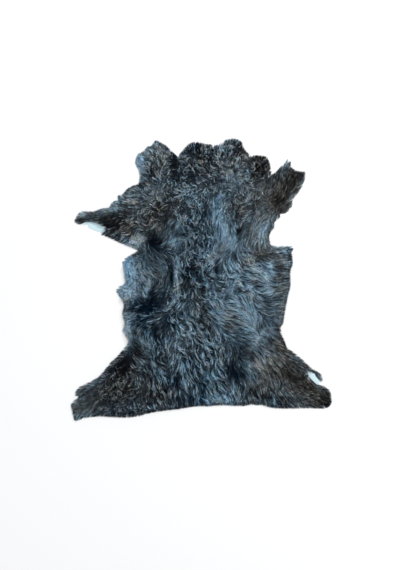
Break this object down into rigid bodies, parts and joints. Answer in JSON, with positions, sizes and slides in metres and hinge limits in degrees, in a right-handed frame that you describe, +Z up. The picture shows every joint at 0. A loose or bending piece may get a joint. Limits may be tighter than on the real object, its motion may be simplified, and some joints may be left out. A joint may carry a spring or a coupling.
{
  "type": "sheepskin rug",
  "caption": "Dark grey sheepskin rug, fleece up, lying flat in the outline of the whole pelt with neck, legs and flanks.",
  "frame": {"origin": "on the floor, under the middle of the pelt's box", "axes": "+Y towards the neck, +X towards the right flank as seen from above with the neck away from the viewer, +Z up out of the fleece"},
  "size_m": [0.931, 1.0008, 0.0533],
  "materials": {
    "fleece": "long wavy wool, dark grey with a blue-grey sheen",
    "hide": "pale tanned skin, matt"
  },
  "bodies": {
    "root": {"pelt": "fleece"}
  },
  "joints": []
}
